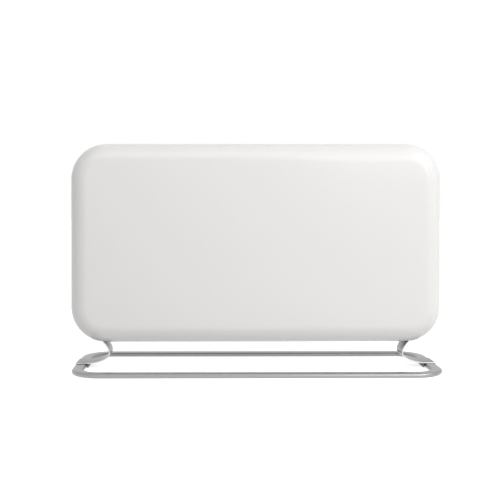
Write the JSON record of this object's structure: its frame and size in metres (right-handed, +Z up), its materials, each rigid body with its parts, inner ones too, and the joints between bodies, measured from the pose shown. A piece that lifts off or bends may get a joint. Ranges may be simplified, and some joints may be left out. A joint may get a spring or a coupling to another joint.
{
  "type": "electric panel heater",
  "caption": "Free-standing electric panel heater: a rounded white steel casing with a louvred back, carried by two bent straps on a looped bar floor stand.",
  "frame": {"origin": "on the floor, under the middle of the casing and of the floor ring", "axes": "+Z up, +X along the casing's width to the viewer's right, -Y out of the front panel"},
  "size_m": [0.65, 0.2156, 0.3939],
  "materials": {
    "white_enamel": "glossy smooth powder coat",
    "satin_alloy": "satin anodised",
    "fin_alloy": "mill finish extrusion",
    "zinc_sheet": "zinc coated sheet",
    "zinc_fastener": "zinc plated",
    "white_fastener": "painted white",
    "ceramic": "unglazed",
    "grey_rubber": "matt moulded",
    "white_plastic": "gloss moulded",
    "dark_window": "polished dark window",
    "black_plastic": "fine matt moulded",
    "board_green": "solder mask",
    "winding_yellow": "taped winding",
    "capacitor_can": "sleeved can",
    "terminal_plastic": "moulded",
    "bob_brass": "turned",
    "sensor_bead": "epoxy"
  },
  "bodies": {
    "casing": {"air_deflector": "zinc_sheet", "control_board": "board_green", "control_panel": "white_plastic", "control_tray": "black_plastic", "cord_inlet": "black_plastic", "display_block": "black_plastic", "display_window": "dark_window", "element_terminals": "zinc_fastener", "front_shell": "white_enamel", "heat_shield": "zinc_sheet", "heating_element": "fin_alloy", "left_element_bush": "ceramic", "left_foot_pad": "grey_rubber", "left_leg": "satin_alloy", "left_upright": "zinc_sheet", "leg_screws": "zinc_fastener", "power_board": "board_green", "power_box": "black_plastic", "rear_shell": "white_enamel", "relay": "black_plastic", "right_element_bush": "ceramic", "right_foot_pad": "grey_rubber", "right_leg": "satin_alloy", "right_upright": "zinc_sheet", "ring_dowels": "zinc_fastener", "ring_front": "satin_alloy", "ring_nuts": "zinc_fastener", "ring_rear": "satin_alloy", "room_sensor": "sensor_bead", "sensor_clip": "black_plastic", "shell_screws": "white_fastener", "smoothing_capacitor": "capacitor_can", "switch_frame": "black_plastic", "terminal_block": "terminal_plastic", "thermal_cutout": "black_plastic", "tilt_switch_case": "black_plastic", "transformer": "winding_yellow"},
    "power_button": {"power_button": "white_plastic"},
    "minus_button": {"minus_button": "white_plastic"},
    "plus_button": {"plus_button": "white_plastic"},
    "mode_button": {"mode_button": "white_plastic"},
    "rocker": {"switch_rocker": "black_plastic"},
    "tilt_bob": {"tilt_pendulum": "bob_brass"}
  },
  "joints": [
    {"name": "power_press", "type": "slide", "parent": "casing", "child": "power_button", "axis": [0, 0, -1], "range_m": [0, 0.0008], "stiffness_N_per_m": 600},
    {"name": "minus_press", "type": "slide", "parent": "casing", "child": "minus_button", "axis": [0, 0, -1], "range_m": [0, 0.0008], "stiffness_N_per_m": 600},
    {"name": "plus_press", "type": "slide", "parent": "casing", "child": "plus_button", "axis": [0, 0, -1], "range_m": [0, 0.0008], "stiffness_N_per_m": 600},
    {"name": "mode_press", "type": "slide", "parent": "casing", "child": "mode_button", "axis": [0, 0, -1], "range_m": [0, 0.0008], "stiffness_N_per_m": 600},
    {"name": "rocker_turn", "type": "hinge", "parent": "casing", "child": "rocker", "pos_m": [0.293, 0.0368, 0.122], "axis": [1, 0, 0], "range_deg": [0, 18]},
    {"name": "tilt_swing", "type": "hinge", "parent": "casing", "child": "tilt_bob", "pos_m": [-0.292, 0, 0.202], "axis": [1, 0, 0], "range_deg": [-18, 18]}
  ]
}
